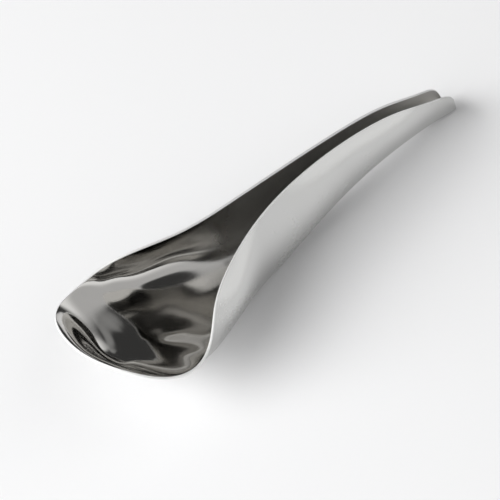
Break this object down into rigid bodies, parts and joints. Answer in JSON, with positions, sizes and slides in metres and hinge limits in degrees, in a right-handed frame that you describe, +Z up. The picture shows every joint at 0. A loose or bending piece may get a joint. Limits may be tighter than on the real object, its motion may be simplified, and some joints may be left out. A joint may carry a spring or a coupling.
{
  "type": "tea bag spoon",
  "caption": "Sheet-steel tea bag spoon: a wide dished bowl whose sides roll up into a slotted horn handle that narrows to the tip, for lifting, draining and squeezing a tea bag.",
  "frame": {"origin": "on the flat of the keel where the spoon rests on the floor, just in front of the neck", "axes": "+X from the bowl back to the tip of the handle, +Z up, XZ is the plane of symmetry"},
  "size_m": [0.1431, 0.0464, 0.0217],
  "materials": {
    "sheet_steel": "satin outside, mirror polished inside, bright cut edges"
  },
  "bodies": {
    "bowl": {"bowl": "sheet_steel", "keel": "sheet_steel"},
    "left_leaf": {"left_leaf": "sheet_steel"},
    "right_leaf": {"right_leaf": "sheet_steel"},
    "left_cheek": {"left_cheek": "sheet_steel"},
    "right_cheek": {"right_cheek": "sheet_steel"}
  },
  "joints": [
    {"name": "left_leaf_flex", "type": "hinge", "parent": "bowl", "child": "left_leaf", "pos_m": [0.0034, 0, 0.003], "axis": [-1, 0, 0], "range_deg": [0, 4], "stiffness_Nm_per_rad": 0.1},
    {"name": "right_leaf_flex", "type": "hinge", "parent": "bowl", "child": "right_leaf", "pos_m": [0.0034, 0, 0.003], "axis": [1, 0, 0], "range_deg": [0, 4], "stiffness_Nm_per_rad": 0.1},
    {"name": "left_cheek_flex", "type": "hinge", "parent": "bowl", "child": "left_cheek", "pos_m": [-0.0258, 0, 0.003], "axis": [-1, 0, 0], "range_deg": [0, 2], "stiffness_Nm_per_rad": 0.1},
    {"name": "right_cheek_flex", "type": "hinge", "parent": "bowl", "child": "right_cheek", "pos_m": [-0.0258, 0, 0.003], "axis": [1, 0, 0], "range_deg": [0, 2], "stiffness_Nm_per_rad": 0.1}
  ],
  "couplings": [
    {"joint": "right_leaf_flex", "follows": "left_leaf_flex", "ratio": 1},
    {"joint": "left_cheek_flex", "follows": "left_leaf_flex", "ratio": 0.5},
    {"joint": "right_cheek_flex", "follows": "left_leaf_flex", "ratio": 0.5}
  ]
}
